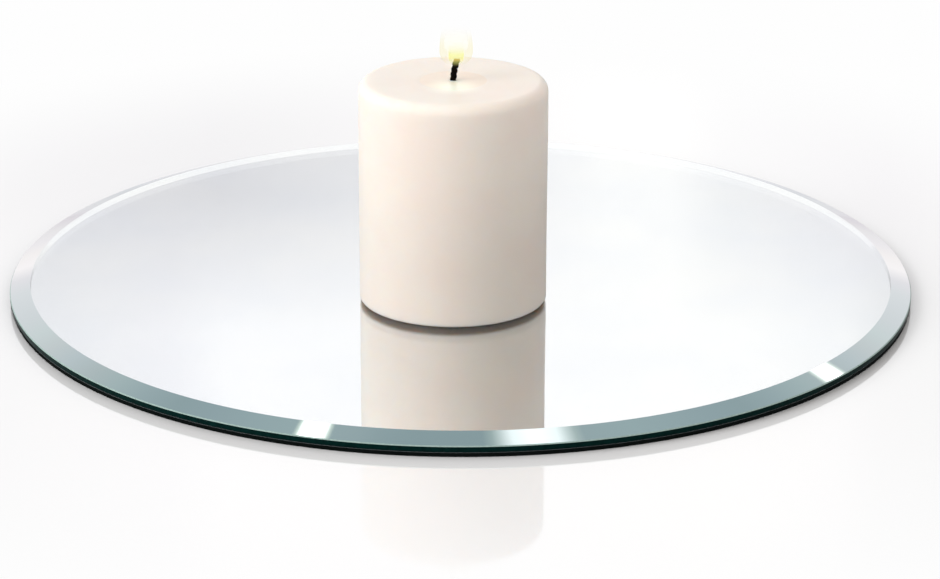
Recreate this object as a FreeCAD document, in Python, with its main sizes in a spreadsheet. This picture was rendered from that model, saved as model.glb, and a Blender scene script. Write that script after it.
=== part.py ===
import FreeCAD, Part
import math
import os

import Sketcher

# A round mirror plate with a bevelled rim, and the pillar candle that stands on it.
# Millimetres, +Z up. The origin is on the table, under the middle of the plate,
# and the front of the plate is towards -Y.

# Driving dimensions. Each one is written here and nowhere else.
DIMENSIONS = [
    # the plate
    ("plate_diameter", 355.6, "14 in across"),
    ("glass_thickness", 5.0, "stock float glass"),
    ("bevel_width", 8.0, "in from the rim, seen from above"),
    ("bevel_drop", 2.5, "from the flat top down to the rim"),
    ("rim_arris", 0.3, "the seamed corner between bevel and edge"),
    ("foot_arris", 0.5, "the seamed corner at the underside"),
    ("silver_thickness", 0.05, "thicker than real silvering, so that it is a solid"),
    ("paint_thickness", 0.05, "backing paint"),
    ("felt_thickness", 1.6, "stick-on felt over the whole underside"),
    # the wax
    ("candle_diameter", 72.0, "a nominal 3 in pillar"),
    ("candle_height", 86.5, "wax only"),
    ("candle_offset_x", -3.0, "to the left of the plate's middle"),
    ("candle_offset_y", -34.0, "in front of the plate's middle"),
    ("shoulder_radius", 4.0, "the soft top corner"),
    ("heel_radius", 0.8, "the bottom corner"),
    ("dish_radius", 13.0, "the hollow that has melted round the wick"),
    ("dish_floor_radius", 7.0, "its flat floor"),
    ("dish_depth", 1.4, "below the flat top"),
    # the wick and the tab at its foot
    ("wick_diameter", 2.6, "braided cotton"),
    ("wick_exposed", 8.5, "from the dish's floor up to the wick's tip"),
    ("wick_bend_radius", 32.0, "the free end leans to the right"),
    ("tab_diameter", 20.0, "tinned sheet steel"),
    ("tab_thickness", 0.4, "the tab's flat disc"),
    ("tab_recess", 0.5, "up from the candle's base, so that only wax touches the glass"),
    ("collar_height", 6.5, "from the tab's underside to the top of its collar"),
    ("collar_wall", 0.45, "the collar is crimped round the wick"),
]

# Expressions on those dimensions. First the levels above the table.
PAINT_FOOT = "sizes.felt_thickness"
SILVER_FOOT = f"{PAINT_FOOT} + sizes.paint_thickness"
GLASS_FOOT = f"{SILVER_FOOT} + sizes.silver_thickness"
GLASS_TOP = f"{GLASS_FOOT} + sizes.glass_thickness"

# The glass, from its own underside.
PLATE_RADIUS = "sizes.plate_diameter / 2"
COATED_RADIUS = f"{PLATE_RADIUS} - sizes.foot_arris"
FLAT_RADIUS = f"{PLATE_RADIUS} - sizes.bevel_width"
RIM_TOP = "sizes.glass_thickness - sizes.bevel_drop"
ARRIS_TOP = f"{RIM_TOP} + sizes.rim_arris * sizes.bevel_drop / sizes.bevel_width"

# The candle, from its own base.
CANDLE_RADIUS = "sizes.candle_diameter / 2"
SHOULDER_FOOT = "sizes.candle_height - sizes.shoulder_radius"
DISH_FLOOR = "sizes.candle_height - sizes.dish_depth"
WICK_RADIUS = "sizes.wick_diameter / 2"
WICK_TIP = f"{DISH_FLOOR} + sizes.wick_exposed"
TAB_RADIUS = "sizes.tab_diameter / 2"
TAB_TOP = "sizes.tab_recess + sizes.tab_thickness"
COLLAR_RADIUS = f"{WICK_RADIUS} + sizes.collar_wall"
COLLAR_TOP = "sizes.tab_recess + sizes.collar_height"

doc = FreeCAD.newDocument("candle_plate")
sizes = doc.addObject("Spreadsheet::Sheet", "sizes")
for row, (alias, value, note) in enumerate(DIMENSIONS, start=1):
    sizes.set(f"A{row}", alias)
    sizes.set(f"B{row}", str(value))
    sizes.setAlias(f"B{row}", alias)
    sizes.set(f"C{row}", note)
doc.recompute()


def size(expression):
    """The length that an expression on the sheet gives now."""
    return float(sizes.evalExpression(expression))


def new_body(label):
    """An empty body whose label names its file."""
    body = doc.addObject("PartDesign::Body", label)
    body.Label = label
    return body


def new_sketch(body, name, role):
    """A sketch on one of the body's own origin planes."""
    plane = next(item for item in body.Origin.OriginFeatures if item.Role == role)
    sketch = body.newObject("Sketcher::SketchObject", name)
    sketch.AttachmentSupport = [(plane, "")]
    sketch.MapMode = "FlatFace"
    sketch.Visibility = False
    return sketch


def drive(sketch, name, constraint, expression):
    """Adds a constraint to a sketch and binds its value to the sheet."""
    index = sketch.addConstraint(constraint)
    sketch.renameConstraint(index, name)
    sketch.setExpression(f"Constraints.{name}", expression)


def pin_across(sketch, name, geometry, vertex, across):
    """Holds a vertex at a distance across from the sketch's origin."""
    held = Sketcher.Constraint("DistanceX", -1, 1, geometry, vertex, size(across))
    drive(sketch, f"{name}_across", held, across)


def pin_up(sketch, name, geometry, vertex, up):
    """Holds a vertex at a height above the sketch's origin."""
    held = Sketcher.Constraint("DistanceY", -1, 1, geometry, vertex, size(up))
    drive(sketch, f"{name}_up", held, up)


def outline(sketch, corners):
    """A closed outline that runs anticlockwise through corners (across, up).

    A corner with a third value, a radius, ends a quarter round that bulges outwards.
    """
    points = [FreeCAD.Vector(size(corner[0]), size(corner[1]), 0) for corner in corners]
    for i, corner in enumerate(corners):
        start = points[i - 1]
        end = points[i]
        if len(corner) == 2:
            sketch.addGeometry(Part.LineSegment(start, end))
            continue
        radius = size(corner[2])
        chord = end - start
        outwards = FreeCAD.Vector(chord.y, -chord.x, 0).normalize()
        bulge = radius - math.sqrt(radius ** 2 - (chord.Length / 2) ** 2)
        sketch.addGeometry(Part.Arc(start, (start + end) / 2 + outwards * bulge, end))
        held = Sketcher.Constraint("Radius", i, radius)
        drive(sketch, f"round_{i}", held, corner[2])
    for i, corner in enumerate(corners):
        following = (i + 1) % len(corners)
        sketch.addConstraint(Sketcher.Constraint("Coincident", i, 2, following, 1))
        pin_across(sketch, f"corner_{i}", i, 2, corner[0])
        pin_up(sketch, f"corner_{i}", i, 2, corner[1])


def turned(label, corners):
    """A body turned about its own upright axis from half of its section."""
    body = new_body(label)
    section = new_sketch(body, f"{label}_section", "XZ_Plane")
    outline(section, corners)
    turning = body.newObject("PartDesign::Revolution", f"{label}_turning")
    turning.Profile = section
    turning.ReferenceAxis = (section, ["V_Axis"])
    turning.Angle = 360
    return body


def flat_disc(label, radius, thickness, foot):
    """A thin round piece that lies level at a height above the table."""
    disc = doc.addObject("Part::Cylinder", label)
    disc.Label = label
    disc.setExpression("Radius", radius)
    disc.setExpression("Height", thickness)
    disc.setExpression("Placement.Base.z", foot)
    return disc


def stand_on_plate(piece):
    """Puts a piece of the candle where the candle stands."""
    piece.setExpression("Placement.Base.x", "sizes.candle_offset_x")
    piece.setExpression("Placement.Base.y", "sizes.candle_offset_y")
    piece.setExpression("Placement.Base.z", GLASS_TOP)


def make_glass():
    """Flat on both faces, with a bevel all round and a short upright edge."""
    glass = turned("glass_disc", [
        ("0", "0"),
        (COATED_RADIUS, "0"),
        (PLATE_RADIUS, "sizes.foot_arris"),
        (PLATE_RADIUS, f"{RIM_TOP} - sizes.rim_arris"),
        (f"{PLATE_RADIUS} - sizes.rim_arris", ARRIS_TOP),
        (FLAT_RADIUS, "sizes.glass_thickness"),
        ("0", "sizes.glass_thickness"),
    ])
    glass.setExpression("Placement.Base.z", GLASS_FOOT)
    return glass


def make_backing():
    """Silvering, paint over it and felt over that cover the flat underside of the glass."""
    silver = flat_disc("silver_layer", COATED_RADIUS, "sizes.silver_thickness", SILVER_FOOT)
    paint = flat_disc("backing_paint", COATED_RADIUS, "sizes.paint_thickness", PAINT_FOOT)
    felt = flat_disc("felt_base", COATED_RADIUS, "sizes.felt_thickness", "0")
    return [silver, paint, felt]


def make_wax():
    """The wax is cast round the wick and its tab, so its hollows are their shapes."""
    wax = turned("wax_pillar", [
        (TAB_RADIUS, "0"),
        (f"{CANDLE_RADIUS} - sizes.heel_radius", "0"),
        (CANDLE_RADIUS, "sizes.heel_radius", "sizes.heel_radius"),
        (CANDLE_RADIUS, SHOULDER_FOOT),
        (f"{CANDLE_RADIUS} - sizes.shoulder_radius", "sizes.candle_height", "sizes.shoulder_radius"),
        ("sizes.dish_radius", "sizes.candle_height"),
        ("sizes.dish_floor_radius", DISH_FLOOR),
        (WICK_RADIUS, DISH_FLOOR),
        (WICK_RADIUS, COLLAR_TOP),
        (COLLAR_RADIUS, COLLAR_TOP),
        (COLLAR_RADIUS, TAB_TOP),
        (TAB_RADIUS, TAB_TOP),
    ])
    stand_on_plate(wax)
    return wax


def make_tab():
    """A disc pressed from sheet, drawn up in the middle into a collar."""
    tab = turned("wick_tab", [
        (WICK_RADIUS, "sizes.tab_recess"),
        (TAB_RADIUS, "sizes.tab_recess"),
        (TAB_RADIUS, TAB_TOP),
        (COLLAR_RADIUS, TAB_TOP),
        (COLLAR_RADIUS, COLLAR_TOP),
        (WICK_RADIUS, COLLAR_TOP),
    ])
    stand_on_plate(tab)
    return tab


def make_wick():
    """Straight through the wax, then leaning to the right where it stands clear."""
    wick = new_body("wick")
    path = new_sketch(wick, "wick_path", "XZ_Plane")
    foot = size("sizes.tab_recess")
    floor = size(DISH_FLOOR)
    bend = size("sizes.wick_bend_radius")
    exposed = size("sizes.wick_exposed")
    lean = math.pi - math.asin(exposed / bend)
    circle = Part.Circle(FreeCAD.Vector(bend, floor, 0), FreeCAD.Vector(0, 0, 1), bend)
    straight = path.addGeometry(Part.LineSegment(FreeCAD.Vector(0, foot, 0), FreeCAD.Vector(0, floor, 0)))
    leaning = path.addGeometry(Part.ArcOfCircle(circle, lean, math.pi))
    pin_across(path, "foot", straight, 1, "0")
    pin_up(path, "foot", straight, 1, "sizes.tab_recess")
    pin_across(path, "floor", straight, 2, "0")
    pin_up(path, "floor", straight, 2, DISH_FLOOR)
    path.addConstraint(Sketcher.Constraint("Tangent", straight, 2, leaning, 2))
    drive(path, "bend", Sketcher.Constraint("Radius", leaning, bend), "sizes.wick_bend_radius")
    pin_up(path, "tip", leaning, 1, WICK_TIP)

    section = new_sketch(wick, "wick_section", "XY_Plane")
    section.setExpression("AttachmentOffset.Base.z", "sizes.tab_recess")
    radius = size(WICK_RADIUS)
    rim = Part.Circle(FreeCAD.Vector(0, 0, 0), FreeCAD.Vector(0, 0, 1), radius)
    ring = section.addGeometry(rim)
    section.addConstraint(Sketcher.Constraint("Coincident", ring, 3, -1, 1))
    drive(section, "wick_radius", Sketcher.Constraint("Radius", ring, radius), WICK_RADIUS)

    braid = wick.newObject("PartDesign::AdditivePipe", "wick_braid")
    braid.Profile = section
    braid.Spine = (path, ["Edge1", "Edge2"])
    stand_on_plate(wick)
    return wick


pieces = [make_glass(), *make_backing(), make_wax(), make_wick(), make_tab()]
doc.recompute()

# The wick keeps its section all the way, so its volume is section times length.
wick_length = size(DISH_FLOOR) - size("sizes.tab_recess")
wick_length += size("sizes.wick_bend_radius") * math.asin(
    size("sizes.wick_exposed") / size("sizes.wick_bend_radius")
)
wick_volume = math.pi * size(WICK_RADIUS) ** 2 * wick_length
print(f"wick: {doc.getObject('wick').Shape.Volume:.2f} mm3, {wick_volume:.2f} expected")

for item in doc.Objects:
    if "Invalid" in item.State or "Error" in item.State:
        raise RuntimeError(f"{item.Label} did not rebuild: {item.State}")
for piece in pieces:
    shape = piece.Shape
    if shape.isNull() or not shape.isValid() or len(shape.Solids) != 1:
        raise RuntimeError(f"{piece.Label} is not one valid solid")

os.makedirs("parts", exist_ok=True)
for piece in pieces:
    piece.Shape.exportStep(f"parts/{piece.Label}.step")
    box = piece.Shape.BoundBox
    print(f"{piece.Label}: {piece.Shape.Volume:.1f} mm3, z {box.ZMin:.2f} to {box.ZMax:.2f}")
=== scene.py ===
import math

import bmesh
import bpy
from mathutils import Matrix, Vector, noise


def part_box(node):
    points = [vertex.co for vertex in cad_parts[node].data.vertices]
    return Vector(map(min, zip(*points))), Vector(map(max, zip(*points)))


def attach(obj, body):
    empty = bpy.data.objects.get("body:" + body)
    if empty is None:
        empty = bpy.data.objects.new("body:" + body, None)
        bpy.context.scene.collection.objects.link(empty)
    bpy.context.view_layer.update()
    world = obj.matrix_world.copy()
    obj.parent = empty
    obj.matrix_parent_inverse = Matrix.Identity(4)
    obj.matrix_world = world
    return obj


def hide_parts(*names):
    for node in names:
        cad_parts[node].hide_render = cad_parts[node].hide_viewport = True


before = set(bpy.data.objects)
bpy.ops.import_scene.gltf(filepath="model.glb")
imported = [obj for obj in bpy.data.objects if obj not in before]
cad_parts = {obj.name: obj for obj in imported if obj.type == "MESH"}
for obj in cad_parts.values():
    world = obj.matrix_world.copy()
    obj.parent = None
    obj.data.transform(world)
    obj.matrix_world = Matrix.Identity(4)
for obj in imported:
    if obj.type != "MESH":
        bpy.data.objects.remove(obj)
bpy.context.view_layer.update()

# A round mirror plate with a bevelled rim and the lit pillar candle that stands on it.
# Metres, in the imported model's frame: table at 0, front of the plate towards -Y.

mm = 0.001
doublesWithin = 0.002 * mm
slimWithin = 0.001 * mm
print("frame loaded:", len(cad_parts), "nodes")


def linear(hexColour):
    # an sRGB hex value as a linear colour with full alpha
    channels = [int(hexColour[i:i + 2], 16) / 255 for i in (1, 3, 5)]
    return (*[c / 12.92 if c <= 0.04045 else ((c + 0.055) / 1.055) ** 2.4 for c in channels], 1)


def addNode(tree, kind, inputs=None, **settings):
    # one node with its settings, its fixed values and its links
    node = tree.nodes.new(kind)
    for name, value in settings.items():
        setattr(node, name, value)
    for socket, value in (inputs or {}).items():
        if isinstance(value, bpy.types.NodeSocket):
            tree.links.new(value, node.inputs[socket])
        else:
            node.inputs[socket].default_value = value
    return node


def setStops(rampNode, stops):
    # stops are (position, linear colour), in rising order
    ramp = rampNode.color_ramp
    while len(ramp.elements) < len(stops):
        ramp.elements.new(0.5)
    for element, (position, colour) in zip(ramp.elements, stops):
        element.position = position
        element.color = colour
    return rampNode.outputs["Color"]


def newMaterial(name):
    # an empty material with its tree, its output and Object coordinates
    material = bpy.data.materials.new(name)
    material.use_nodes = True
    tree = material.node_tree
    tree.nodes.clear()
    output = addNode(tree, "ShaderNodeOutputMaterial")
    place = addNode(tree, "ShaderNodeTexCoord").outputs["Object"]
    return material, tree, output, place


def perMetre(featureSize):
    # the scale of a texture whose features measure featureSize on the object
    return 1 / featureSize


def newTree(name, inputs, output="Piece"):
    # a Geometry Nodes tree with named inputs, given as {name: (socket type, default)}
    tree = bpy.data.node_groups.new(name, "GeometryNodeTree")
    for title, (kind, default) in inputs.items():
        socket = tree.interface.new_socket(title, in_out="INPUT", socket_type=kind)
        if default is not None:
            socket.default_value = default
    tree.interface.new_socket(output, in_out="OUTPUT", socket_type="NodeSocketGeometry")
    start = addNode(tree, "NodeGroupInput")
    return tree, start.outputs


def grown(name, mesh, tree, values):
    # runs a Geometry Nodes tree on a mesh and keeps the result as a plain mesh object
    base = bpy.data.objects.new(name + "Base", mesh)
    bpy.context.scene.collection.objects.link(base)
    modifier = base.modifiers.new(tree.name, "NODES")
    modifier.node_group = tree
    sockets = {item.name: item.identifier for item in tree.interface.items_tree if item.in_out == "INPUT"}
    for title, value in values.items():
        modifier[sockets[title]] = value
    depsgraph = bpy.context.evaluated_depsgraph_get()
    result = bpy.data.meshes.new_from_object(base.evaluated_get(depsgraph))
    base.modifiers.remove(modifier)
    bpy.data.objects.remove(base)
    result.name = name
    piece = bpy.data.objects.new(name, result)
    bpy.context.scene.collection.objects.link(piece)
    return piece


def closeUp(piece, sharpAngle=None):
    # merges doubles, turns faces outwards and shades smooth up to an angle
    work = bmesh.new()
    work.from_mesh(piece.data)
    bmesh.ops.remove_doubles(work, verts=work.verts, dist=doublesWithin)
    bmesh.ops.dissolve_degenerate(work, edges=work.edges, dist=slimWithin)
    bmesh.ops.recalc_face_normals(work, faces=work.faces)
    work.to_mesh(piece.data)
    work.free()
    for face in piece.data.polygons:
        face.use_smooth = True
    if sharpAngle is not None:
        piece.data.set_sharp_from_angle(angle=math.radians(sharpAngle))
    return piece


def moved(piece, offset):
    # shifts the mesh and leaves the object at the origin
    piece.data.transform(Matrix.Translation(offset))
    return piece


def makeTurningTree():
    # turns an outline of (radius, height) about the upright axis
    tree, given = newTree("turnOutline", {
        "Outline": ("NodeSocketGeometry", None),
        "Steps round": ("NodeSocketInt", 256),
        "Hub radius": ("NodeSocketFloat", 1 * mm),
        "Finish": ("NodeSocketMaterial", None),
    })
    line = addNode(tree, "GeometryNodeMeshToCurve", {0: given["Outline"]})
    spot = addNode(tree, "GeometryNodeInputPosition")
    parts = addNode(tree, "ShaderNodeSeparateXYZ", {0: spot.outputs[0]})
    out = addNode(tree, "ShaderNodeMath", {0: parts.outputs["X"], 1: given["Hub radius"]},
                  operation="SUBTRACT")
    down = addNode(tree, "ShaderNodeMath", {0: parts.outputs["Z"], 1: -1.0}, operation="MULTIPLY")
    flat = addNode(tree, "ShaderNodeCombineXYZ", {"X": out.outputs[0], "Y": down.outputs[0]})
    laid = addNode(tree, "GeometryNodeSetPosition", {0: line.outputs[0], "Position": flat.outputs[0]})
    hub = addNode(tree, "GeometryNodeCurvePrimitiveCircle",
                  {"Resolution": given["Steps round"], "Radius": given["Hub radius"]})
    swept = addNode(tree, "GeometryNodeCurveToMesh", {0: hub.outputs[0], 1: laid.outputs[0]})
    real = addNode(tree, "GeometryNodeRealizeInstances", {0: swept.outputs[0]})
    finished = addNode(tree, "GeometryNodeSetMaterial",
                       {"Geometry": real.outputs[0], "Material": given["Finish"]})
    addNode(tree, "NodeGroupOutput", {0: finished.outputs[0]})
    return tree


turningTree = makeTurningTree()


def turned(name, outline, finish, steps, closed=False, sharpAngle=20):
    # outline is a list of (radius, height); closed joins its end to its start
    points = [(radius, 0, height) for radius, height in outline]
    edges = [(i, i + 1) for i in range(len(points) - 1)]
    if closed:
        edges.append((len(points) - 1, 0))
    mesh = bpy.data.meshes.new(name + "Outline")
    mesh.from_pydata(points, edges, [])
    piece = grown(name, mesh, turningTree, {"Steps round": steps, "Finish": finish})
    return closeUp(piece, sharpAngle)


def quarterRound(centre, radius, fromAngle, toAngle, steps):
    # points of an arc in an outline, angles in degrees from outwards, anticlockwise
    angles = [math.radians(fromAngle + (toAngle - fromAngle) * i / steps) for i in range(steps + 1)]
    return [(centre[0] + radius * math.cos(a), centre[1] + radius * math.sin(a)) for a in angles]


def between(start, end, steps):
    # points along a straight stretch of an outline, without its start
    return [(start[0] + (end[0] - start[0]) * i / steps, start[1] + (end[1] - start[1]) * i / steps)
            for i in range(1, steps + 1)]


def makeFibreTree():
    # stands short bent fibres on the upright faces of a surface and keeps the surface
    tree, given = newTree("shortFibres", {
        "Surface": ("NodeSocketGeometry", None),
        "Fibres per square metre": ("NodeSocketFloat", 1e6),
        "Fibre length": ("NodeSocketFloat", 0.6 * mm),
        "Fibre radius": ("NodeSocketFloat", 0.02 * mm),
        "Tilt": ("NodeSocketFloat", 0.9),
        "Seed": ("NodeSocketInt", 1),
        "Finish": ("NodeSocketMaterial", None),
    })
    normal = addNode(tree, "GeometryNodeInputNormal")
    parts = addNode(tree, "ShaderNodeSeparateXYZ", {0: normal.outputs[0]})
    size = addNode(tree, "ShaderNodeMath", {0: parts.outputs["Z"]}, operation="ABSOLUTE")
    sideways = addNode(tree, "FunctionNodeCompare", {0: size.outputs[0], 1: 0.9}, operation="LESS_THAN")
    dots = addNode(tree, "GeometryNodeDistributePointsOnFaces",
                   {"Mesh": given["Surface"], "Selection": sideways.outputs[0],
                    "Density": given["Fibres per square metre"], "Seed": given["Seed"]})
    # one fibre, bent over at half its length
    bend = addNode(tree, "ShaderNodeMath", {0: given["Fibre length"], 1: 0.5}, operation="MULTIPLY")
    middle = addNode(tree, "ShaderNodeCombineXYZ", {"X": bend.outputs[0], "Z": bend.outputs[0]})
    tip = addNode(tree, "ShaderNodeCombineXYZ", {"Z": given["Fibre length"]})
    curl = addNode(tree, "GeometryNodeCurveQuadraticBezier",
                   {"Resolution": 3, "Start": (0, 0, 0), "Middle": middle.outputs[0], "End": tip.outputs[0]})
    section = addNode(tree, "GeometryNodeCurvePrimitiveCircle",
                      {"Resolution": 3, "Radius": given["Fibre radius"]})
    fibre = addNode(tree, "GeometryNodeCurveToMesh", {0: curl.outputs[0], 1: section.outputs[0]})
    fibre.inputs["Fill Caps"].default_value = True
    # each leans its own way, by up to the tilt
    low = addNode(tree, "ShaderNodeMath", {0: given["Tilt"], 1: -1.0}, operation="MULTIPLY")
    lowest = addNode(tree, "ShaderNodeCombineXYZ",
                     {"X": low.outputs[0], "Y": low.outputs[0], "Z": -math.pi})
    highest = addNode(tree, "ShaderNodeCombineXYZ",
                      {"X": given["Tilt"], "Y": given["Tilt"], "Z": math.pi})
    lean = addNode(tree, "FunctionNodeRandomValue",
                   {0: lowest.outputs[0], 1: highest.outputs[0], "Seed": given["Seed"]},
                   data_type="FLOAT_VECTOR")
    leaning = addNode(tree, "FunctionNodeRotateRotation",
                      {0: dots.outputs["Rotation"], 1: lean.outputs[0]}, rotation_space="LOCAL")
    spread = addNode(tree, "GeometryNodeInstanceOnPoints",
                     {"Points": dots.outputs["Points"], "Instance": fibre.outputs[0],
                      "Rotation": leaning.outputs[0]})
    both = addNode(tree, "GeometryNodeJoinGeometry")
    tree.links.new(spread.outputs[0], both.inputs[0])
    tree.links.new(given["Surface"], both.inputs[0])
    real = addNode(tree, "GeometryNodeRealizeInstances", {0: both.outputs[0]})
    finished = addNode(tree, "GeometryNodeSetMaterial",
                       {"Geometry": real.outputs[0], "Material": given["Finish"]})
    addNode(tree, "NodeGroupOutput", {0: finished.outputs[0]})
    return tree


fibreTree = makeFibreTree()


glass = {
    "bevelWidth": 8.0 * mm,
    "bevelDrop": 2.5 * mm,
    "rimArris": 0.3 * mm,      # the seamed corner over the edge
    "footArris": 0.5 * mm,     # the seamed corner under it
    "stepsRound": 720,
    "clear": "#fcfdfd",        # what a pass through clear float glass leaves of white
    "bevelClear": "#e8ecec",   # glass and silver together, as the bevel shows them
    "edgeGreen": "#021d1b",
    "arrisPale": "#a3bab4",
    "arrisDim": "#8aa19b",
    "silverSunk": 0.02 * mm,   # the silver starts inside the glass, so no faces coincide
    "paintLap": 0.15 * mm,     # the paint laps a little onto the seamed corner
    "paintGap": 0.002 * mm,
}


def makePolishedGlass():
    # float glass: fire-polished, dead flat, clear with the least cast of green
    material, tree, output, place = newMaterial("clearFloatGlass")
    wave = addNode(tree, "ShaderNodeTexNoise", {"Vector": place, "Scale": perMetre(30 * mm), "Detail": 1.0})
    bump = addNode(tree, "ShaderNodeBump", {"Height": wave.outputs["Fac"], "Strength": 0.02,
                                            "Distance": 0.01 * mm})
    shader = addNode(tree, "ShaderNodeBsdfPrincipled", {
        "Base Color": linear(glass["clear"]), "Roughness": 0.0, "IOR": 1.52,
        "Transmission Weight": 1.0, "Normal": bump.outputs[0]})
    tree.links.new(shader.outputs[0], output.inputs["Surface"])
    return material


def makePolishedBevel():
    # the bevel, ground and polished over the silver: from above it is one bright mirror facet,
    # and from inside the glass it bends light out as clear glass does
    material, tree, output, place = newMaterial("polishedMirrorBevel")
    wheel = addNode(tree, "ShaderNodeTexNoise", {"Vector": place, "Scale": perMetre(5 * mm), "Detail": 2.0})
    bump = addNode(tree, "ShaderNodeBump", {"Height": wheel.outputs["Fac"], "Strength": 0.05,
                                            "Distance": 0.02 * mm})
    facet = addNode(tree, "ShaderNodeBsdfPrincipled", {
        "Base Color": linear(glass["bevelClear"]), "Metallic": 1.0, "Roughness": 0.02,
        "Normal": bump.outputs[0]})
    inside = addNode(tree, "ShaderNodeBsdfPrincipled", {
        "Base Color": linear(glass["clear"]), "Roughness": 0.0, "IOR": 1.52, "Transmission Weight": 1.0})
    side = addNode(tree, "ShaderNodeNewGeometry")
    either = addNode(tree, "ShaderNodeMixShader", {0: side.outputs["Backfacing"], 1: facet.outputs[0],
                                                   2: inside.outputs[0]})
    tree.links.new(either.outputs[0], output.inputs["Surface"])
    return material


def makeGroundEdge():
    # the glass's edge, ground flat: light that goes in runs the whole plate and comes back dark green
    material, tree, output, place = newMaterial("groundGlassEdge")
    grit = addNode(tree, "ShaderNodeTexNoise", {"Vector": place, "Scale": perMetre(1.5 * mm), "Detail": 4.0})
    tint = addNode(tree, "ShaderNodeValToRGB", {0: grit.outputs["Fac"]})
    deep = linear(glass["edgeGreen"])
    colour = setStops(tint, [(0.3, tuple(c * 0.7 for c in deep[:3]) + (1,)),
                             (0.7, tuple(c * 1.3 for c in deep[:3]) + (1,))])
    bump = addNode(tree, "ShaderNodeBump", {"Height": grit.outputs["Fac"], "Strength": 0.1,
                                            "Distance": 0.02 * mm})
    shader = addNode(tree, "ShaderNodeBsdfPrincipled", {
        "Base Color": colour, "Roughness": 0.3, "IOR": 1.52, "Specular IOR Level": 0.02,
        "Normal": bump.outputs[0]})
    tree.links.new(shader.outputs[0], output.inputs["Surface"])
    return material


def makeSeamedArris():
    # the corner taken off with a fine stone: matt and pale, so that it draws a light line
    material, tree, output, place = newMaterial("seamedGlassArris")
    grit = addNode(tree, "ShaderNodeTexNoise", {"Vector": place, "Scale": perMetre(0.8 * mm), "Detail": 3.0})
    tint = addNode(tree, "ShaderNodeValToRGB", {0: grit.outputs["Fac"]})
    colour = setStops(tint, [(0.3, linear(glass["arrisDim"])), (0.7, linear(glass["arrisPale"]))])
    shader = addNode(tree, "ShaderNodeBsdfPrincipled", {
        "Base Color": colour, "Roughness": 0.5, "IOR": 1.52})
    tree.links.new(shader.outputs[0], output.inputs["Surface"])
    return material


def makeSilver():
    # silver laid wet on the glass: a mirror, with hardly any clouding
    material, tree, output, place = newMaterial("wetLaidSilver")
    cloud = addNode(tree, "ShaderNodeTexNoise", {"Vector": place, "Scale": perMetre(60 * mm), "Detail": 3.0})
    tint = addNode(tree, "ShaderNodeValToRGB", {0: cloud.outputs["Fac"]})
    colour = setStops(tint, [(0.35, linear("#f3f4f5")), (0.65, linear("#f7f7f6"))])
    shader = addNode(tree, "ShaderNodeBsdfPrincipled", {
        "Base Color": colour, "Metallic": 1.0, "Roughness": 0.0})
    tree.links.new(shader.outputs[0], output.inputs["Surface"])
    return material


def makeBackingPaint():
    # curtain-coated backing paint: even grey, matt, with fine orange peel
    material, tree, output, place = newMaterial("curtainCoatedBackingPaint")
    peel = addNode(tree, "ShaderNodeTexNoise", {"Vector": place, "Scale": perMetre(1.2 * mm), "Detail": 2.0})
    tint = addNode(tree, "ShaderNodeValToRGB", {0: peel.outputs["Fac"]})
    colour = setStops(tint, [(0.3, linear("#5b6063")), (0.7, linear("#656a6d"))])
    bump = addNode(tree, "ShaderNodeBump", {"Height": peel.outputs["Fac"], "Strength": 0.4,
                                            "Distance": 0.03 * mm})
    shader = addNode(tree, "ShaderNodeBsdfPrincipled", {
        "Base Color": colour, "Roughness": 0.6, "IOR": 1.5, "Normal": bump.outputs[0]})
    tree.links.new(shader.outputs[0], output.inputs["Surface"])
    return material


def makeFelt():
    # wool felt, dyed black and pressed: matt, with a few lighter fibres in it
    material, tree, output, place = newMaterial("pressedWoolFelt")
    hair = addNode(tree, "ShaderNodeTexNoise", {"Vector": place, "Scale": perMetre(0.4 * mm), "Detail": 5.0})
    tint = addNode(tree, "ShaderNodeValToRGB", {0: hair.outputs["Fac"]})
    colour = setStops(tint, [(0.35, linear("#020605")), (0.7, linear("#08110f"))])
    bump = addNode(tree, "ShaderNodeBump", {"Height": hair.outputs["Fac"], "Strength": 0.8,
                                            "Distance": 0.1 * mm})
    shader = addNode(tree, "ShaderNodeBsdfPrincipled", {
        "Base Color": colour, "Roughness": 0.95, "Specular IOR Level": 0.15, "Normal": bump.outputs[0]})
    tree.links.new(shader.outputs[0], output.inputs["Surface"])
    return material


def makeGlass():
    # flat top, bevel, seamed corner, ground edge, seamed foot
    low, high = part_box("glass_disc")
    radius = high.x
    flat = radius - glass["bevelWidth"]
    rimTop = high.z - glass["bevelDrop"]
    arrisTop = rimTop + glass["rimArris"] * glass["bevelDrop"] / glass["bevelWidth"]
    outline = [
        (0, low.z), (radius - glass["footArris"], low.z),
        (radius, low.z + glass["footArris"]), (radius, rimTop - glass["rimArris"]),
        (radius - glass["rimArris"], arrisTop), (flat, high.z), (0, high.z),
    ]
    piece = turned("bevelledGlass", outline, makePolishedGlass(), glass["stepsRound"], sharpAngle=2)
    bevel, ground, seamed = 1, 2, 3
    for finish in (makePolishedBevel(), makeGroundEdge(), makeSeamedArris()):
        piece.data.materials.append(finish)
    for face in piece.data.polygons:
        tilt = face.normal.z
        if 0.9 < tilt < 0.9999:
            face.material_index = bevel
        elif abs(tilt) < 0.9:
            face.material_index = seamed if tilt > 0.2 else ground
    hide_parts("glass_disc")
    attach(piece, "plate")
    return piece


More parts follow.
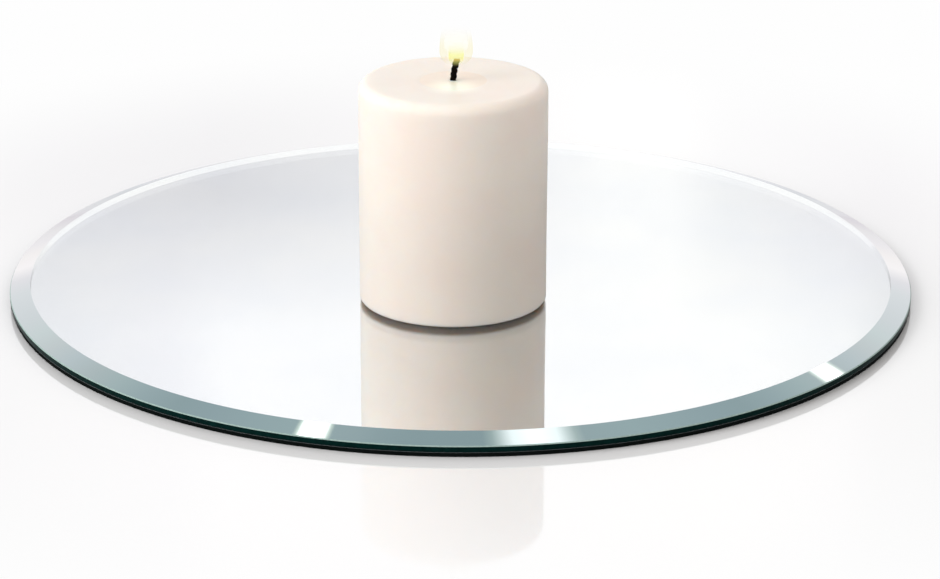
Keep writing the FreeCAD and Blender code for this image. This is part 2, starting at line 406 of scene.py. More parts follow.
def makeCoatings():
    # the silver and the paint that covers it
    low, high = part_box("silver_layer")
    top = high.z + glass["silverSunk"]
    outline = [(0, low.z), (high.x, low.z), (high.x, top), (0, top)]
    silver = turned("silverCoat", outline, makeSilver(), glass["stepsRound"])
    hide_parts("silver_layer")
    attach(silver, "plate")
    low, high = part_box("backing_paint")
    edge = high.x + glass["paintLap"]
    top = high.z - glass["paintGap"]
    outline = [(0, low.z), (edge, low.z), (edge, top), (0, top)]
    paint = turned("paintCoat", outline, makeBackingPaint(), glass["stepsRound"])
    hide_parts("backing_paint")
    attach(paint, "plate")


felt = {
    "stepsRound": 360,
    "edgeRound": 0.1 * mm,
    "fibresPerSquareMetre": 4.5e6,
    "fibreLength": 0.45 * mm,
    "fibreRadius": 0.022 * mm,
    "fibreSeed": 11,
}


def makeFeltBase():
    # a felt disc with loose fibres round its cut edge
    finish = makeFelt()
    low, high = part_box("felt_base")
    rounding = felt["edgeRound"]
    outline = [(0, low.z), (high.x - rounding, low.z)]
    outline += quarterRound((high.x - rounding, low.z + rounding), rounding, -90, 0, 3)[1:]
    outline += [(high.x, high.z), (0, high.z)]
    disc = turned("feltDisc", outline, finish, felt["stepsRound"])
    base = grown("feltBase", disc.data, fibreTree, {
        "Fibres per square metre": felt["fibresPerSquareMetre"], "Fibre length": felt["fibreLength"],
        "Fibre radius": felt["fibreRadius"], "Seed": felt["fibreSeed"], "Finish": finish})
    bpy.data.objects.remove(disc)
    for vertex in base.data.vertices:      # the table presses the lowest fibres flat
        vertex.co.z = max(vertex.co.z, 0.0)
    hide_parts("felt_base")
    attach(base, "plate")


makeGlass()
makeCoatings()
makeFeltBase()
print("plate made")


candle = {
    "shoulder": 4.0 * mm,
    "heel": 0.8 * mm,
    "dishLip": 14.5 * mm,      # radius at which the top starts to fall away
    "dishToe": 6.0 * mm,       # and at which the dish is full depth
    "dishDepth": 1.4 * mm,
    "stepsRound": 256,
    "unevenness": 0.12 * mm,
    "swellSize": 45 * mm,
    "trueBelow": 2 * mm,       # the foot and the dish are left true
    "trueWithin": 16 * mm,
    "ivory": "#f8ede4",
    "ivoryDim": "#f6e9e0",
    "meltIvory": "#f8e7d9",
    "meltIvoryDim": "#f6e4d5",
    "poolDepth": 1.28 * mm,
    "poolReach": 12.9 * mm,
    "poolMeniscus": 0.2 * mm,
    "lightReach": (1.0, 0.86, 0.72),   # red goes deeper into the wax than blue
    "lightDepth": 3 * mm,
    # the flame's light on the top, painted into the wax as emission: its spot ahead of the wick, reach,
    # strength and tint
    "glowAhead": 9.0 * mm,     # of the wick
    "glowReach": 13.0 * mm,
    "glowStrength": 0.24,
    "glow": "#c4ffe9",
    "tabThickness": 0.4 * mm,
    "collarHeight": 6.5 * mm,
    "collarWall": 0.45 * mm,
    "channelRadius": 1.32 * mm,
}


def paintedFlameLightOnWax(tree, place):
    # painted light: emission in the wax in front of the wick stands in for the flame's light gathering there;
    # its strength there
    axis = candleAxis()
    low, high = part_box("wax_pillar")
    spot = (axis.x, axis.y - candle["glowAhead"], high.z)
    off = addNode(tree, "ShaderNodeVectorMath", {0: place, 1: spot}, operation="DISTANCE")
    fade = addNode(tree, "ShaderNodeMapRange", {
        0: off.outputs["Value"], "From Min": candle["glowReach"], "From Max": 0.0,
        "To Max": candle["glowStrength"]}, interpolation_type="SMOOTHSTEP")
    return fade.outputs[0]


def makeWaxMaterial():
    # cast paraffin: ivory, satin, and light goes a few millimetres into it; the flame's light in front of the
    # wick is painted on as emission
    material, tree, output, place = newMaterial("castParaffinWax")
    cloud = addNode(tree, "ShaderNodeTexNoise", {"Vector": place, "Scale": perMetre(25 * mm), "Detail": 3.0})
    tint = addNode(tree, "ShaderNodeValToRGB", {0: cloud.outputs["Fac"]})
    colour = setStops(tint, [(0.35, linear(candle["ivoryDim"])), (0.65, linear(candle["ivory"]))])
    bloom = addNode(tree, "ShaderNodeTexNoise", {"Vector": place, "Scale": perMetre(1.5 * mm), "Detail": 4.0})
    gloss = addNode(tree, "ShaderNodeMapRange", {0: bloom.outputs["Fac"], "To Min": 0.38, "To Max": 0.52})
    bump = addNode(tree, "ShaderNodeBump", {"Height": bloom.outputs["Fac"], "Strength": 0.15,
                                            "Distance": 0.05 * mm})
    shader = addNode(tree, "ShaderNodeBsdfPrincipled", {
        "Base Color": colour, "Roughness": gloss.outputs[0], "IOR": 1.44,
        "Subsurface Weight": 1.0, "Subsurface Radius": candle["lightReach"],
        "Subsurface Scale": candle["lightDepth"],
        "Emission Color": linear(candle["glow"]), "Emission Strength": paintedFlameLightOnWax(tree, place),
        "Normal": bump.outputs[0]})
    tree.links.new(shader.outputs[0], output.inputs["Surface"])
    return material


def makeMeltMaterial():
    # liquid wax: the same ivory, wet and level, with the flame's light painted on as emission
    material, tree, output, place = newMaterial("meltedParaffin")
    swirl = addNode(tree, "ShaderNodeTexNoise", {"Vector": place, "Scale": perMetre(6 * mm), "Detail": 2.0})
    tint = addNode(tree, "ShaderNodeValToRGB", {0: swirl.outputs["Fac"]})
    colour = setStops(tint, [(0.35, linear(candle["meltIvoryDim"])), (0.65, linear(candle["meltIvory"]))])
    shader = addNode(tree, "ShaderNodeBsdfPrincipled", {
        "Base Color": colour, "Roughness": 0.3, "IOR": 1.44,
        "Subsurface Weight": 1.0, "Subsurface Radius": candle["lightReach"],
        "Subsurface Scale": candle["lightDepth"],
        "Emission Color": linear(candle["glow"]), "Emission Strength": paintedFlameLightOnWax(tree, place)})
    tree.links.new(shader.outputs[0], output.inputs["Surface"])
    return material


def candleAxis():
    low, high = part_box("wax_pillar")
    return Vector(((low.x + high.x) / 2, (low.y + high.y) / 2, low.z))


def makeWax():
    # one turned body from the tab's recess round the outside to the dish and the wick's channel
    low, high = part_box("wax_pillar")
    tabLow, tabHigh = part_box("wick_tab")
    radius = (high.x - low.x) / 2
    height = high.z - low.z
    tabRadius = (tabHigh.x - tabLow.x) / 2
    tabTop = tabLow.z + candle["tabThickness"] - low.z
    collarTop = tabLow.z + candle["collarHeight"] - low.z
    shoulder = candle["shoulder"]
    heel = candle["heel"]
    poolDrop = candle["dishDepth"] - candle["poolDepth"]
    channel = candle["channelRadius"]
    collar = channel + candle["collarWall"]
    outline = [(tabRadius, 0)]
    outline += between((tabRadius, 0), (radius - heel, 0), 6)
    outline += quarterRound((radius - heel, heel), heel, -90, 0, 6)[1:]
    outline += between((radius, heel), (radius, height - shoulder), 40)
    outline += quarterRound((radius - shoulder, height - shoulder), shoulder, 0, 90, 12)[1:]
    outline += between((radius - shoulder, height), (candle["dishLip"], height), 12)
    # the dish's lip is melted round and falls away softly, and melted wax fills it almost to the top
    fall = 24
    lip, toe = candle["dishLip"], candle["dishToe"]
    for i in range(1, fall + 1):
        share = i / fall
        drop = min(candle["dishDepth"] * (1 - math.cos(math.pi * share)) / 2, poolDrop)
        outline.append((lip + (toe - lip) * share, height - drop))
    climb = 8
    for i in range(1, climb + 1):          # the melt climbs the wick a little
        share = i / climb
        outline.append((toe + (channel - toe) * share,
                        height - poolDrop + candle["poolMeniscus"] * share ** 6))
    outline += [(channel, collarTop), (collar, collarTop), (collar, tabTop), (tabRadius, tabTop)]
    piece = turned("waxPillar", outline, makeWaxMaterial(), candle["stepsRound"], closed=True, sharpAngle=40)
    for vertex in piece.data.vertices:     # cast wax is never quite true
        spot = vertex.co
        if spot.z > candle["trueBelow"] and spot.xy.length > candle["trueWithin"]:
            swell = noise.noise(spot * perMetre(candle["swellSize"])) * candle["unevenness"]
            outwards = Vector((spot.x, spot.y, 0)).normalized()
            vertex.co = spot + outwards * swell
    melted = 1
    piece.data.materials.append(makeMeltMaterial())
    for face in piece.data.polygons:
        if face.center.z > height - candle["dishDepth"] and face.center.xy.length < candle["poolReach"]:
            face.material_index = melted
    moved(piece, candleAxis())
    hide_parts("wax_pillar")
    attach(piece, "candle")
    return piece


wick = {
    "bendRadius": 32.0 * mm,
    "exposed": 9.4 * mm,
    "burntEnd": 0.9 * mm,      # of it stands past the solid, as loose burnt fibre
    "strands": 3,
    "strandRadius": 0.62 * mm,
    "swing": 0.68 * mm,        # how far a strand moves to each side as it crosses over
    "rise": 0.42 * mm,         # and to the front and back
    "crossings": 15.0,
    "rings": 320,
    "fibresPerSquareMetre": 3.0e6,
    "fibreLength": 0.35 * mm,
    "fibreRadius": 0.015 * mm,
    "fibreTilt": 1.1,
    "fibreSeed": 5,
    "knobSize": 1.1 * mm,
}


def makeBraidTree():
    # lays the strands of a flat braid along a path
    tree, given = newTree("braidOnPath", {
        "Path": ("NodeSocketGeometry", None),
        "Strands": ("NodeSocketInt", 3),
        "Strand radius": ("NodeSocketFloat", 0.5 * mm),
        "Swing": ("NodeSocketFloat", 0.6 * mm),
        "Rise": ("NodeSocketFloat", 0.4 * mm),
        "Crossings": ("NodeSocketFloat", 10.0),
        "Rings": ("NodeSocketInt", 200),
        "Seed": ("NodeSocketFloat", 3.0),
        "Finish": ("NodeSocketMaterial", None),
    })
    line = addNode(tree, "GeometryNodeMeshToCurve", {0: given["Path"]})
    even = addNode(tree, "GeometryNodeResampleCurve", {0: line.outputs[0], "Count": given["Rings"]})
    copies = addNode(tree, "GeometryNodeDuplicateElements",
                     {0: even.outputs[0], "Amount": given["Strands"]}, domain="SPLINE")
    along = addNode(tree, "GeometryNodeSplineParameter")
    walk = addNode(tree, "ShaderNodeMath", {0: along.outputs["Factor"], 1: given["Crossings"]},
                   operation="MULTIPLY")
    share = addNode(tree, "ShaderNodeMath",
                    {0: copies.outputs["Duplicate Index"], 1: given["Strands"]}, operation="DIVIDE")
    turn = addNode(tree, "ShaderNodeMath", {0: walk.outputs[0], 1: share.outputs[0]}, operation="ADD")
    phase = addNode(tree, "ShaderNodeMath", {0: turn.outputs[0], 1: 2 * math.pi}, operation="MULTIPLY")
    twice = addNode(tree, "ShaderNodeMath", {0: phase.outputs[0], 1: 2.0}, operation="MULTIPLY")
    across = addNode(tree, "ShaderNodeMath", {0: phase.outputs[0]}, operation="SINE")
    over = addNode(tree, "ShaderNodeMath", {0: twice.outputs[0]}, operation="SINE")
    sideStep = addNode(tree, "ShaderNodeMath", {0: across.outputs[0], 1: given["Swing"]},
                       operation="MULTIPLY")
    frontStep = addNode(tree, "ShaderNodeMath", {0: over.outputs[0], 1: given["Rise"]},
                        operation="MULTIPLY")
    side = addNode(tree, "ShaderNodeCombineXYZ", {"X": sideStep.outputs[0], "Y": frontStep.outputs[0]})
    braided = addNode(tree, "GeometryNodeSetPosition", {0: copies.outputs[0], "Offset": side.outputs[0]})
    knobs = addNode(tree, "ShaderNodeTexNoise", {"Scale": perMetre(wick["knobSize"]), "W": given["Seed"]},
                    noise_dimensions="4D")
    size = addNode(tree, "ShaderNodeMapRange", {0: knobs.outputs["Fac"], "From Min": 0.3, "From Max": 0.7,
                                                "To Min": 0.85, "To Max": 1.1})
    section = addNode(tree, "GeometryNodeCurvePrimitiveCircle",
                      {"Resolution": 10, "Radius": given["Strand radius"]})
    uneven = addNode(tree, "GeometryNodeSetCurveRadius", {0: braided.outputs[0], "Radius": size.outputs[0]})
    tubes = addNode(tree, "GeometryNodeCurveToMesh", {0: uneven.outputs[0], 1: section.outputs[0]})
    tubes.inputs["Fill Caps"].default_value = True
    real = addNode(tree, "GeometryNodeRealizeInstances", {0: tubes.outputs[0]})
    finished = addNode(tree, "GeometryNodeSetMaterial",
                       {"Geometry": real.outputs[0], "Material": given["Finish"]})
    addNode(tree, "NodeGroupOutput", {0: finished.outputs[0]})
    return tree


def makeCharredCotton(tipHeight, floorHeight):
    # cotton braid: cream in the wax, burnt black above it, with a dull ember at the tip
    material, tree, output, place = newMaterial("charredBraidedCotton")
    parts = addNode(tree, "ShaderNodeSeparateXYZ", {0: place})
    ash = addNode(tree, "ShaderNodeTexNoise", {"Vector": place, "Scale": perMetre(0.5 * mm), "Detail": 5.0})
    ragged = addNode(tree, "ShaderNodeMath", {0: ash.outputs["Fac"], 1: 1.2 * mm, 2: parts.outputs["Z"]},
                     operation="MULTIPLY_ADD")
    burnt = addNode(tree, "ShaderNodeMapRange", {
        0: ragged.outputs[0], "From Min": floorHeight + 0.2 * mm, "From Max": floorHeight + 1.4 * mm})
    glow = addNode(tree, "ShaderNodeMapRange", {
        0: ragged.outputs[0], "From Min": tipHeight - 0.5 * mm, "From Max": tipHeight + 0.9 * mm})
    black = addNode(tree, "ShaderNodeValToRGB", {0: ash.outputs["Fac"]})
    blackColour = setStops(black, [(0.35, linear("#050302")), (0.7, linear("#160e0b"))])
    base = addNode(tree, "ShaderNodeMix", {"Factor": burnt.outputs[0], "A": linear("#e9dcc4"),
                                           "B": blackColour}, data_type="RGBA")
    ember = addNode(tree, "ShaderNodeMix", {"Factor": glow.outputs[0], "A": (0, 0, 0, 1),
                                            "B": linear("#c25a1c")}, data_type="RGBA")
    bump = addNode(tree, "ShaderNodeBump", {"Height": ash.outputs["Fac"], "Strength": 0.8,
                                            "Distance": 0.1 * mm})
    shader = addNode(tree, "ShaderNodeBsdfPrincipled", {
        "Base Color": base.outputs["Result"], "Roughness": 0.9, "Specular IOR Level": 0.1,
        "Emission Color": ember.outputs["Result"], "Emission Strength": 1.0, "Normal": bump.outputs[0]})
    tree.links.new(shader.outputs[0], output.inputs["Surface"])
    return material


def makeWick():
    # upright in the wax, then leaning over to the right
    low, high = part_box("wick")
    waxLow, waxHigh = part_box("wax_pillar")
    axis = candleAxis()
    floor = waxHigh.z - candle["dishDepth"]
    lean = math.asin(wick["exposed"] / wick["bendRadius"])
    upright, bent = 40, 12
    path = [Vector((0, 0, low.z + i * (floor - low.z) / upright)) for i in range(upright + 1)]
    bendCentre = Vector((wick["bendRadius"], 0, floor))
    for i in range(1, bent + 1):
        turn = lean * i / bent
        path.append(bendCentre + wick["bendRadius"] * Vector((-math.cos(turn), 0, math.sin(turn))))
    mesh = bpy.data.meshes.new("wickPath")
    mesh.from_pydata([tuple(p) for p in path], [(i, i + 1) for i in range(len(path) - 1)], [])
    finish = makeCharredCotton(high.z + wick["burntEnd"], floor)
    braid = grown("wickBraid", mesh, makeBraidTree(), {
        "Strands": wick["strands"], "Strand radius": wick["strandRadius"], "Swing": wick["swing"],
        "Rise": wick["rise"], "Crossings": wick["crossings"], "Rings": wick["rings"], "Finish": finish})
    closeUp(braid, 60)
    piece = grown("braidedWick", braid.data, fibreTree, {
        "Fibres per square metre": wick["fibresPerSquareMetre"], "Fibre length": wick["fibreLength"],
        "Fibre radius": wick["fibreRadius"], "Tilt": wick["fibreTilt"], "Seed": wick["fibreSeed"],
        "Finish": finish})
    bpy.data.objects.remove(braid)
    moved(piece, (axis.x, axis.y, 0))
    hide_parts("wick")
    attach(piece, "candle")
    return piece


def makeTinplate():
    # bright tinplate, pressed: cold-rolled grain under a thin tin coat
    material, tree, output, place = newMaterial("pressedTinplate")
    stretch = addNode(tree, "ShaderNodeMapping", {"Vector": place, "Scale": (1, 0.08, 1)})
    grain = addNode(tree, "ShaderNodeTexNoise", {"Vector": stretch.outputs[0],
                                                 "Scale": perMetre(0.3 * mm), "Detail": 3.0})
    tint = addNode(tree, "ShaderNodeValToRGB", {0: grain.outputs["Fac"]})
    colour = setStops(tint, [(0.3, linear("#bfc1c3")), (0.7, linear("#d2d4d5"))])
    gloss = addNode(tree, "ShaderNodeMapRange", {0: grain.outputs["Fac"], "To Min": 0.2, "To Max": 0.38})
    shader = addNode(tree, "ShaderNodeBsdfPrincipled", {
        "Base Color": colour, "Metallic": 1.0, "Roughness": gloss.outputs[0]})
    tree.links.new(shader.outputs[0], output.inputs["Surface"])
    return material


flame = {
    "height": 12.8 * mm,       # above the tip of the solid wick
    "tipInset": 1.3 * mm,      # from the wick's right edge to its middle
    "fadeOver": 5.0 * mm,      # each shell fades in from its foot over this height
    "thinOver": 8.0 * mm,      # and out again below its top
    "stepsRound": 64,
    # nested shells, few enough to see through: foot above the wick's tip, top below the flame's
    # own, half width, colour, strength and cover
    "shells": {
        "mantle": (-2.0 * mm, 0.0, 6.3 * mm, "#faee9f", 1.0, 0.2),
        "brightZone": (2.2 * mm, 0.4 * mm, 4.5 * mm, "#ffffff", 1.05, 0.66),
        "darkZone": (-1.8 * mm, 5.4 * mm, 2.9 * mm, "#fbff86", 1.0, 0.64),
    },
}


def makeGlow(name, foot, top, colour, strength, cover):
    # burning vapour: it gives light, lets what is behind it through and thins out at both ends
    material, tree, output, place = newMaterial(name)
    parts = addNode(tree, "ShaderNodeSeparateXYZ", {0: place})
    fadeIn = addNode(tree, "ShaderNodeMapRange", {
        0: parts.outputs["Z"], "From Min": foot, "From Max": foot + flame["fadeOver"], "To Max": cover},
        interpolation_type="SMOOTHSTEP")
    fadeOut = addNode(tree, "ShaderNodeMapRange", {
        0: parts.outputs["Z"], "From Min": top, "From Max": top - flame["thinOver"]},
        interpolation_type="SMOOTHSTEP")
    amount = addNode(tree, "ShaderNodeMath", {0: fadeIn.outputs[0], 1: fadeOut.outputs[0]},
                     operation="MULTIPLY")
    clear = addNode(tree, "ShaderNodeBsdfTransparent")
    light = addNode(tree, "ShaderNodeEmission", {"Color": linear(colour), "Strength": strength})
    mixed = addNode(tree, "ShaderNodeMixShader", {0: amount.outputs[0], 1: clear.outputs[0],
                                                  2: light.outputs[0]})
    tree.links.new(mixed.outputs[0], output.inputs["Surface"])
    return material


def cupOutline(foot, top, halfWidth, steps=32):
    # round at the foot, then nearly upright, and closed at the top where nothing shows any more
    roundBelow, pullIn = 0.4, 0.16
    outline = []
    for i in range(steps + 1):
        share = i / steps
        if share < roundBelow:
            belly = math.sqrt(1 - (1 - share / roundBelow) ** 2)
        else:
            belly = 1 - pullIn * ((share - roundBelow) / (1 - roundBelow)) ** 2
        width = halfWidth * belly if 0 < i < steps else 0
        outline.append((width, foot + (top - foot) * share))
    return outline


def makeFlame():
    # nested shells of light over the wick's tip
    low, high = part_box("wick")
    axis = candleAxis()
    tipLean = high.x - flame["tipInset"] - axis.x
    for name, (up, down, halfWidth, colour, strength, cover) in flame["shells"].items():
        foot = high.z + up
        top = high.z + flame["height"] - down
        shell = turned(name, cupOutline(foot, top, halfWidth),
                       makeGlow(name + "Glow", foot, top, colour, strength, cover), flame["stepsRound"])
        moved(shell, (axis.x + tipLean, axis.y, 0))
        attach(shell, "candle")


makeWax()
makeWick()
makeFlame()
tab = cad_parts["wick_tab"]           # hidden in the wax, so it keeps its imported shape
tab.data.materials.clear()
tab.data.materials.append(makeTinplate())
print("candle made")


stage = {
    "floorRadius": 5.0,
    "fadeFrom": 0.2,           # from the plate's middle, where the board starts to run into white
    "fadeTo": 0.36,
    "floorWhite": "#f8f8f9",
    "wallStrength": 1.13,
    "softStrength": 1.19,
    "softFromAbove": 0.6,      # how much of it is left straight overhead
    "keyStrength": 1.7,
    "keyAngle": 42,            # degrees across, so its shadows are soft
    "keyFrom": (-0.82, -0.33, 0.45),
}

# the wall and ceiling straight ahead, as the flat of the mirror and the front of its bevel show
# them: (degrees above the horizon, colour)
aheadBands = [
    (-5, "#e6e8ea"), (0, "#d9dddf"), (5, "#e4e6e8"), (9, "#f0f1f3"), (15, "#fdfdfd"), (22.8, "#ffffff"),
    (46, "#ffffff"), (53, "#a3b2b5"), (56, "#94a6aa"), (57.5, "#8a9da1"), (61, "#95a6aa"),
    (72, "#dbe1e3"), (90, "#f0f3f4"),
]
# and from 13 degrees to the side, as the rest of the bevel shows them
asideBands = [
    (-4, "#ddd7db"), (0.6, "#ded8dd"), (3, "#e8e4e6"), (5.6, "#eee9ec"), (8.3, "#f7f1f1"),
    (11.1, "#fcf6f7"), (13.9, "#e6e3e7"), (16.9, "#dddfe2"), (23.1, "#d4d8db"), (26.2, "#ced6d7"),
    (29.4, "#c7cdcf"), (32.6, "#bcc6ca"), (35.9, "#b1bcbe"), (39, "#a6b6b8"), (42.2, "#9aabaf"),
    (45.2, "#91a3a7"), (48, "#93a5aa"), (53, "#99acaf"), (56.5, "#97a8ac"), (61, "#9cacb0"),
    (72, "#dbe1e3"), (90, "#f0f3f4"),
]
# how it shades off to the sides, by degrees from straight ahead, low down and higher up
lowShades = [
    (-12.5, "#eeeef0"), (-8.3, "#e0e0e4"), (-4.8, "#dddde1"), (-2.5, "#e6e6e9"), (1, "#f5f5f7"),
    (3, "#ffffff"), (4.2, "#ffffff"), (5.2, "#f3f4f6"), (8.4, "#e6e5ea"), (12.5, "#f4f4f5"),
]
highShades = [
    (-13, "#d5dbde"), (-8.4, "#edeef1"), (-6, "#f4f4f8"), (-4.8, "#fdfdff"), (6, "#ffffff"),
    (7.7, "#f8f9fb"), (8.6, "#eceef0"), (13, "#d5dadc"),
]
# small bright lamps that glint on the bevel: (azimuth, elevation, half width, half height) in
# degrees, then brightness
glints = [
    (-15.7, 54.2, 1.3, 1.3, 3.0),
    (8.4, 56.6, 3.4, 2.6, 0.9),
    (25.5, 35.8, 1.2, 1.6, 2.2),
]

eye = {
    "distance": 1.2,
    "elevation": 19.9032,
    "pitch": 0.350059,
    "pan": 0.003274,
    "roll": 0.003073,
    "lens": 115.223,
    "sensor": 36.0,
}


def makeFloor():
    # a white board, lacquered, so that it keeps a faint image and a soft shadow of the plate
    mesh = bpy.data.meshes.new("floor")
    work = bmesh.new()
    bmesh.ops.create_circle(work, cap_ends=True, radius=stage["floorRadius"], segments=96)
    work.to_mesh(mesh)
    work.free()
    floor = bpy.data.objects.new("floor", mesh)
    bpy.context.scene.collection.objects.link(floor)
    material, tree, output, place = newMaterial("lacqueredWhiteBoard")
    shader = addNode(tree, "ShaderNodeBsdfPrincipled", {
        "Base Color": linear(stage["floorWhite"]), "Roughness": 0.05, "IOR": 1.5,
        "Coat Weight": 1.0, "Coat Roughness": 0.04, "Coat IOR": 1.5})
    # away from the plate the board runs into the white background, for the camera alone
    far = addNode(tree, "ShaderNodeVectorMath", {0: place}, operation="LENGTH")
    fade = addNode(tree, "ShaderNodeMapRange", {
        0: far.outputs["Value"], "From Min": stage["fadeFrom"], "From Max": stage["fadeTo"]},
        interpolation_type="SMOOTHSTEP")
    path = addNode(tree, "ShaderNodeLightPath")
    amount = addNode(tree, "ShaderNodeMath", {0: fade.outputs[0], 1: path.outputs["Is Camera Ray"]},
                     operation="MULTIPLY")
    white = addNode(tree, "ShaderNodeEmission", {"Color": linear("#fefefe"), "Strength": 1.0})
    surface = addNode(tree, "ShaderNodeMixShader", {0: amount.outputs[0], 1: shader.outputs[0],
                                                    2: white.outputs[0]})
    tree.links.new(surface.outputs[0], output.inputs["Surface"])
    mesh.materials.append(material)


def bandPlace(degrees):
    # where an elevation falls on the ramp of bands
    return (math.sin(math.radians(degrees)) + 0.1) / 1.1


def shadePlace(degrees):
    # where an azimuth falls on the ramp of shades
    return (math.tan(math.radians(degrees)) + 0.25) / 0.5


def addGlint(tree, way, wall, azimuth, elevation, halfWidth, halfHeight, brightness):
    # a soft-edged lamp in the wall: bright in the middle, warm at its fringe
    a, e = math.radians(azimuth), math.radians(elevation)
    towards = (math.sin(a) * math.cos(e), math.cos(a) * math.cos(e), math.sin(e))
    right = (math.cos(a), -math.sin(a), 0)
    up = (-math.sin(a) * math.sin(e), -math.cos(a) * math.sin(e), math.cos(e))
    off = addNode(tree, "ShaderNodeVectorMath", {0: way, 1: towards}, operation="SUBTRACT")
    spans = []
    for axis, half in ((right, halfWidth), (up, halfHeight), (towards, 60)):
        span = addNode(tree, "ShaderNodeVectorMath", {
            0: off.outputs[0], 1: tuple(c / math.radians(half) for c in axis)}, operation="DOT_PRODUCT")
        spans.append(span.outputs["Value"])
    joined = addNode(tree, "ShaderNodeCombineXYZ", dict(enumerate(spans)))
    far = addNode(tree, "ShaderNodeVectorMath", {0: joined.outputs[0]}, operation="LENGTH")
    fade = addNode(tree, "ShaderNodeValToRGB", {0: far.outputs["Value"]})
    colour = setStops(fade, [(0.0, linear("#ffffff")), (0.45, linear("#e1e1df")), (0.65, linear("#a2a39e")),
                             (0.82, linear("#595b50")), (1.0, linear("#000000"))])
    lit = addNode(tree, "ShaderNodeVectorMath", {0: colour, "Scale": brightness}, operation="SCALE")
    total = addNode(tree, "ShaderNodeVectorMath", {0: wall, 1: lit.outputs[0]}, operation="ADD")
    return total.outputs[0]


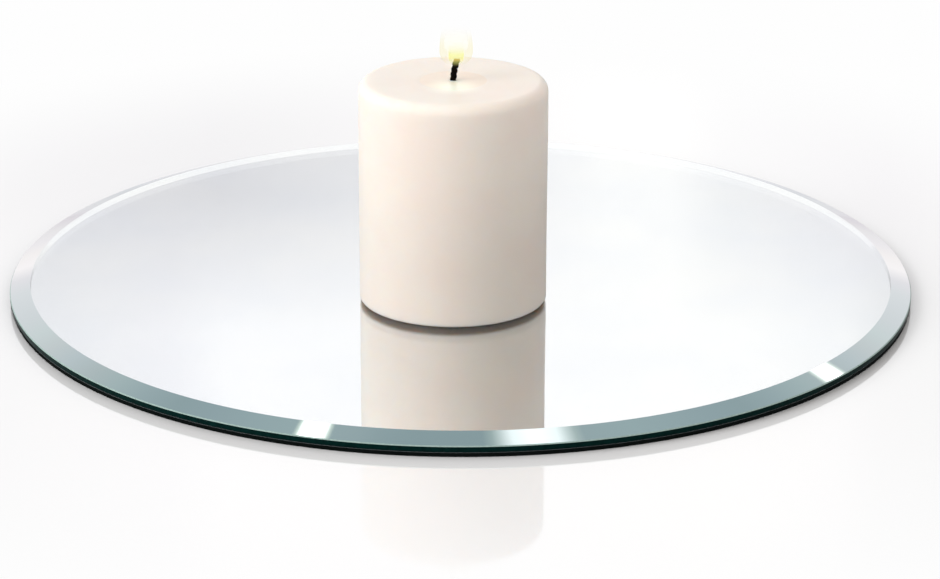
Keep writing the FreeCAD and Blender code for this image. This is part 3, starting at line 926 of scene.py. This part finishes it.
def makeWorld():
    world = bpy.data.worlds.new("studio")
    bpy.context.scene.world = world
    world.use_nodes = True
    tree = world.node_tree
    tree.nodes.clear()
    output = addNode(tree, "ShaderNodeOutputWorld")
    way = addNode(tree, "ShaderNodeTexCoord").outputs["Generated"]
    parts = addNode(tree, "ShaderNodeSeparateXYZ", {0: way})
    # the graded wall and ceiling that the mirror and its bevel show
    height = addNode(tree, "ShaderNodeMapRange", {0: parts.outputs["Z"], "From Min": -0.1, "From Max": 1.0})
    banded = []
    for stops in (aheadBands, asideBands):
        ramp = addNode(tree, "ShaderNodeValToRGB", {0: height.outputs[0]})
        banded.append(setStops(ramp, [(bandPlace(degrees), linear(colour)) for degrees, colour in stops]))
    ahead = addNode(tree, "ShaderNodeMath", {0: parts.outputs["Y"]}, operation="ABSOLUTE")
    aside = addNode(tree, "ShaderNodeMath", {0: parts.outputs["X"], 1: ahead.outputs[0]},
                    operation="DIVIDE")
    bearing = addNode(tree, "ShaderNodeMapRange", {0: aside.outputs[0], "From Min": -0.25, "From Max": 0.25})
    shaded = []
    for shades in (lowShades, highShades):
        ramp = addNode(tree, "ShaderNodeValToRGB", {0: bearing.outputs[0]})
        shaded.append(setStops(ramp, [(shadePlace(degrees), linear(colour)) for degrees, colour in shades]))
    high = addNode(tree, "ShaderNodeMapRange", {
        0: parts.outputs["Z"], "From Min": math.sin(math.radians(18.2)),
        "From Max": math.sin(math.radians(20.8))})
    shade = addNode(tree, "ShaderNodeMix", {"Factor": high.outputs[0], "A": shaded[0], "B": shaded[1]},
                    data_type="RGBA")
    plainer = addNode(tree, "ShaderNodeMapRange", {
        0: parts.outputs["Z"], "From Min": math.sin(math.radians(25)),
        "From Max": math.sin(math.radians(31))})
    plain = addNode(tree, "ShaderNodeMix", {"Factor": plainer.outputs[0], "A": shade.outputs["Result"],
                                            "B": linear("#ffffff")}, data_type="RGBA")
    middle = addNode(tree, "ShaderNodeMix", {"Factor": 1.0, "A": banded[0], "B": plain.outputs["Result"]},
                     data_type="RGBA", blend_type="MULTIPLY")
    sideways = addNode(tree, "ShaderNodeMath", {0: aside.outputs[0]}, operation="ABSOLUTE")
    turn = addNode(tree, "ShaderNodeMapRange", {
        0: sideways.outputs[0], "From Min": math.tan(math.radians(9.5)),
        "From Max": math.tan(math.radians(13))})
    wall = addNode(tree, "ShaderNodeMix", {"Factor": turn.outputs[0], "A": middle.outputs["Result"],
                                           "B": banded[1]}, data_type="RGBA").outputs["Result"]
    for glint in glints:
        wall = addGlint(tree, way, wall, *glint)
    mirrored = addNode(tree, "ShaderNodeBackground", {"Color": wall, "Strength": stage["wallStrength"]})
    # even soft light on everything that scatters, a little less from the right and from overhead
    slope = addNode(tree, "ShaderNodeMapRange", {0: parts.outputs["X"], "From Min": -1.0, "From Max": 1.0})
    softness = addNode(tree, "ShaderNodeValToRGB", {0: slope.outputs[0]})
    softColour = setStops(softness, [(0.0, linear("#ffffff")), (0.5, linear("#f6f4f2")),
                                     (1.0, linear("#e4e0dc"))])
    amount = addNode(tree, "ShaderNodeMapRange", {
        0: parts.outputs["Z"], "To Min": stage["softStrength"],
        "To Max": stage["softStrength"] * stage["softFromAbove"]})
    soft = addNode(tree, "ShaderNodeBackground", {"Color": softColour, "Strength": amount.outputs[0]})
    white = addNode(tree, "ShaderNodeBackground", {"Color": linear("#ffffff"), "Strength": 1.0})
    path = addNode(tree, "ShaderNodeLightPath")
    bent = addNode(tree, "ShaderNodeMath", {0: path.outputs["Is Glossy Ray"],
                                            1: path.outputs["Is Transmission Ray"]}, operation="MAXIMUM")
    first = addNode(tree, "ShaderNodeMath", {0: path.outputs["Diffuse Depth"], 1: 0.5},
                    operation="LESS_THAN")
    byMirror = addNode(tree, "ShaderNodeMath", {0: bent.outputs[0], 1: first.outputs[0]},
                       operation="MULTIPLY")
    scattered = addNode(tree, "ShaderNodeMixShader", {0: byMirror.outputs[0], 1: soft.outputs[0],
                                                      2: mirrored.outputs[0]})
    final = addNode(tree, "ShaderNodeMixShader", {0: path.outputs["Is Camera Ray"],
                                                  1: scattered.outputs[0], 2: white.outputs[0]})
    tree.links.new(final.outputs[0], output.inputs["Surface"])


def makeKey():
    # one large soft lamp, high on the left and a little in front
    lamp = bpy.data.lights.new("key", "SUN")
    lamp.energy = stage["keyStrength"]
    lamp.angle = math.radians(stage["keyAngle"])
    keyObject = bpy.data.objects.new("key", lamp)
    keyObject.rotation_euler = Vector(stage["keyFrom"]).to_track_quat("Z", "Y").to_euler()
    keyObject.visible_glossy = False
    keyObject.visible_transmission = False
    bpy.context.scene.collection.objects.link(keyObject)


def makeCamera():
    elevation = math.radians(eye["elevation"])
    place = Vector((0, -math.cos(elevation), math.sin(elevation))) * eye["distance"]
    pan, pitch, roll = eye["pan"], eye["pitch"], eye["roll"]
    forward = Vector((math.sin(pan) * math.cos(pitch), math.cos(pan) * math.cos(pitch), -math.sin(pitch)))
    right = forward.cross(Vector((0, 0, 1))).normalized()
    up = right.cross(forward)
    across = right * math.cos(roll) + up * math.sin(roll)
    upward = up * math.cos(roll) - right * math.sin(roll)
    lens = bpy.data.cameras.new("camera")
    lens.lens = eye["lens"]
    lens.sensor_width = eye["sensor"]
    lens.sensor_fit = "HORIZONTAL"
    lens.clip_start = 0.01
    cameraObject = bpy.data.objects.new("camera", lens)
    turn = Matrix((across, upward, -forward)).transposed().to_4x4()
    cameraObject.matrix_world = Matrix.Translation(place) @ turn
    bpy.context.scene.collection.objects.link(cameraObject)
    bpy.context.scene.camera = cameraObject


makeFloor()
makeWorld()
makeKey()
makeCamera()
bpy.context.scene.view_settings.view_transform = "Standard"
print("stage made")
